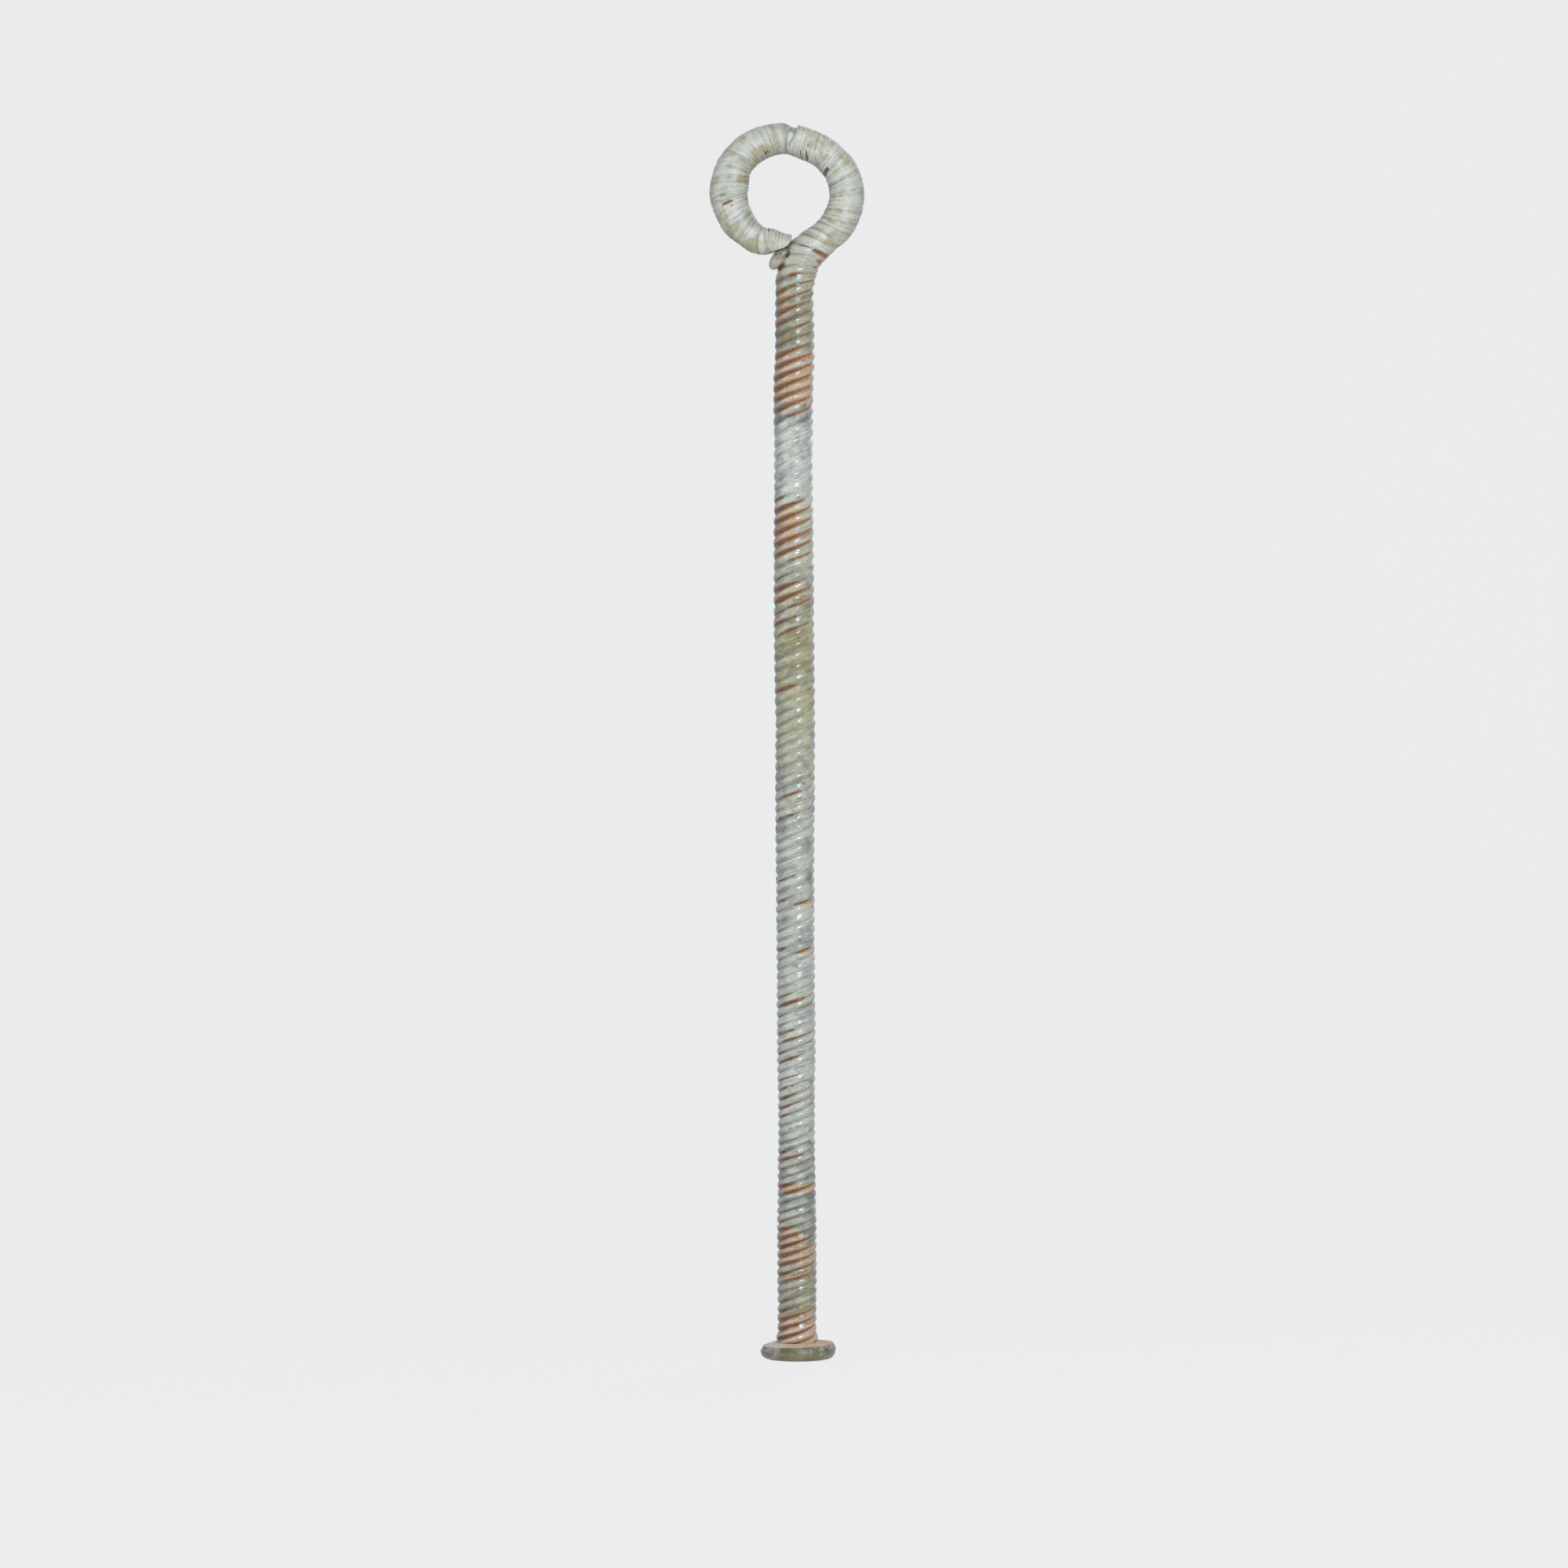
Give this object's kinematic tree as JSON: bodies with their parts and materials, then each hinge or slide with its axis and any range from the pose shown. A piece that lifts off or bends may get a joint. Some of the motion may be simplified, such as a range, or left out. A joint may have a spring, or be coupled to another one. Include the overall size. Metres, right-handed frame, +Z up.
{
  "type": "glass stirring rod",
  "caption": "Twisted glass rod with a round finger ring at the top and a small disc foot, the ring broken and mended.",
  "frame": {"origin": "middle of the foot's flat underside, on the shaft's axis", "axes": "+Z up along the shaft to the ring, the ring lies in the XZ plane, -Y towards the viewer of the picture"},
  "size_m": [0.0262, 0.0128, 0.21],
  "materials": {
    "foot_glass": "weathered olive green glass, satin",
    "rod_glass": "weathered pale green glass with soil in the grooves",
    "ring_glass": "weathered pale aqua glass, satin, finely striated",
    "tail_glass": "clearer grey green glass, smooth",
    "resin": "clear mending resin, smooth"
  },
  "bodies": {
    "root": {"disc_foot": "foot_glass", "twisted_rod": "rod_glass", "ring_upper_piece": "ring_glass", "ring_lower_piece": "ring_glass", "loop_tail": "tail_glass", "top_break_fill": "resin", "side_break_glue": "resin", "tail_break_glue": "resin"}
  },
  "joints": []
}
